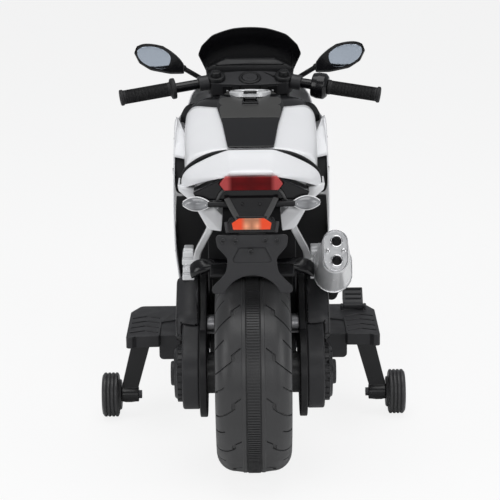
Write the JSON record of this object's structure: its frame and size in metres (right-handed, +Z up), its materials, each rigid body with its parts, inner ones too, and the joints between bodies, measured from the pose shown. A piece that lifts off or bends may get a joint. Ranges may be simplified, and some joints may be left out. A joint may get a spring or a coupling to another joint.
{
  "type": "kids electric motorbike",
  "caption": "Ride-on toy sports motorbike with geared rear drive, steering fork, pedal, footrests and stabiliser wheels.",
  "frame": {"origin": "on the ground, under the middle of the overall box", "axes": "+X to the rider's right, +Y forward, +Z up"},
  "size_m": [0.574, 1.11, 0.681],
  "materials": {
    "white_gloss": "gloss",
    "black_plastic": "satin",
    "black_gloss": "gloss",
    "dark_grey_plastic": "matte",
    "tyre_plastic": "matte",
    "band_rubber": "matte",
    "grip_rubber": "matte",
    "zinc_steel": "satin",
    "silver_plastic": "satin",
    "red_lens": "gloss",
    "orange_lens": "gloss",
    "clear_lens": "gloss",
    "mirror_glass": "polished",
    "gear_nylon": "satin",
    "motor_steel": "satin",
    "painted_steel": "satin",
    "battery_case": "satin"
  },
  "bodies": {
    "chassis": {"drive_motors": "motor_steel", "gearbox_housings": "dark_grey_plastic", "gearbox_covers": "dark_grey_plastic", "swingarms": "black_plastic", "swingarm_covers": "dark_grey_plastic", "chassis_halves": "black_plastic", "battery": "battery_case", "control_box": "battery_case", "tail_tray": "black_gloss", "seat": "black_plastic", "tail_cowl": "white_gloss", "tail_light": "red_lens", "tank_shell": "white_gloss", "tank_top_panel": "black_gloss", "fuel_cap": "silver_plastic", "side_fairings": "white_gloss", "nose_fairing": "white_gloss", "headlight": "clear_lens", "windscreen": "black_gloss", "dashboard": "black_plastic", "mirror_stalks": "black_plastic", "plate_hanger": "black_plastic", "rear_reflector": "orange_lens", "turn_signals": "clear_lens", "rear_fender": "dark_grey_plastic", "inner_fender": "black_plastic", "subframe_struts": "silver_plastic", "exhaust_can": "silver_plastic", "exhaust_end_cap": "silver_plastic", "exhaust_pipe": "black_plastic", "footrest_beam": "painted_steel", "footrest_left": "dark_grey_plastic", "footrest_right": "dark_grey_plastic", "stabiliser_arms": "painted_steel", "fasteners": "zinc_steel"},
    "rear_wheel": {"rear_wheel": "tyre_plastic", "rear_traction_band": "band_rubber", "drive_gears": "gear_nylon"},
    "idlers": {"idler_gears": "gear_nylon"},
    "pinions": {"motor_pinions": "gear_nylon"},
    "steering": {"fork_legs": "black_plastic", "steering_stem": "painted_steel", "upper_fork_clamp": "dark_grey_plastic", "handlebar_tubes": "black_gloss", "grip_left": "grip_rubber", "throttle_housing": "black_gloss", "front_axle": "zinc_steel", "front_fender": "white_gloss"},
    "front_wheel": {"front_wheel": "tyre_plastic", "front_traction_band": "band_rubber"},
    "throttle": {"throttle_grip": "grip_rubber"},
    "start_button": {"start_button": "dark_grey_plastic"},
    "power_switch": {"power_switch": "black_plastic"},
    "mirror_left": {"mirror_head_left": "black_gloss", "mirror_glass_left": "mirror_glass"},
    "mirror_right": {"mirror_head_right": "black_gloss", "mirror_glass_right": "mirror_glass"},
    "foot_pedal": {"foot_pedal": "dark_grey_plastic"},
    "stabiliser_wheel_left": {"stabiliser_wheel_left": "tyre_plastic"},
    "stabiliser_wheel_right": {"stabiliser_wheel_right": "tyre_plastic"}
  },
  "joints": [
    {"name": "steering", "type": "hinge", "parent": "chassis", "child": "steering", "pos_m": [0, 0.39, 0.165], "axis": [0, -0.3633, 0.9317], "range_deg": [-20, 20]},
    {"name": "front_wheel_spin", "type": "hinge", "parent": "steering", "child": "front_wheel", "pos_m": [0, 0.39, 0.165], "axis": [1, 0, 0], "continuous": true},
    {"name": "rear_wheel_spin", "type": "hinge", "parent": "chassis", "child": "rear_wheel", "pos_m": [0, -0.38, 0.175], "axis": [1, 0, 0], "continuous": true},
    {"name": "idler_spin", "type": "hinge", "parent": "chassis", "child": "idlers", "pos_m": [0, -0.35244, 0.2191], "axis": [1, 0, 0], "continuous": true},
    {"name": "motor_spin", "type": "hinge", "parent": "chassis", "child": "pinions", "pos_m": [0, -0.33337, 0.24963], "axis": [1, 0, 0], "continuous": true},
    {"name": "throttle_twist", "type": "hinge", "parent": "steering", "child": "throttle", "pos_m": [0.06, 0.22567, 0.5865], "axis": [0.9718, -0.1971, -0.1295], "range_deg": [0, 35], "stiffness_Nm_per_rad": 0.3},
    {"name": "start_press", "type": "slide", "parent": "steering", "child": "start_button", "axis": [0, 0.3633, -0.9317], "range_m": [0, 0.0025], "stiffness_N_per_m": 400},
    {"name": "power_rock", "type": "hinge", "parent": "chassis", "child": "power_switch", "pos_m": [0, 0.082, 0.567], "axis": [1, 0, 0], "range_deg": [-6, 6]},
    {"name": "mirror_left_turn", "type": "hinge", "parent": "chassis", "child": "mirror_left", "pos_m": [-0.136, 0.32, 0.596], "axis": [0, 0, 1], "range_deg": [-12, 12]},
    {"name": "mirror_right_turn", "type": "hinge", "parent": "chassis", "child": "mirror_right", "pos_m": [0.136, 0.32, 0.596], "axis": [0, 0, 1], "range_deg": [-12, 12]},
    {"name": "pedal_press", "type": "hinge", "parent": "chassis", "child": "foot_pedal", "pos_m": [0.193, -0.04, 0.19], "axis": [-1, 0, 0], "range_deg": [0, 10], "stiffness_Nm_per_rad": 1.5},
    {"name": "stabiliser_left_spin", "type": "hinge", "parent": "chassis", "child": "stabiliser_wheel_left", "pos_m": [0, -0.11, 0.042], "axis": [1, 0, 0], "continuous": true},
    {"name": "stabiliser_right_spin", "type": "hinge", "parent": "chassis", "child": "stabiliser_wheel_right", "pos_m": [0, -0.11, 0.042], "axis": [1, 0, 0], "continuous": true}
  ],
  "couplings": [
    {"joint": "idler_spin", "follows": "rear_wheel_spin", "ratio": -3.3333},
    {"joint": "motor_spin", "follows": "rear_wheel_spin", "ratio": 10}
  ]
}
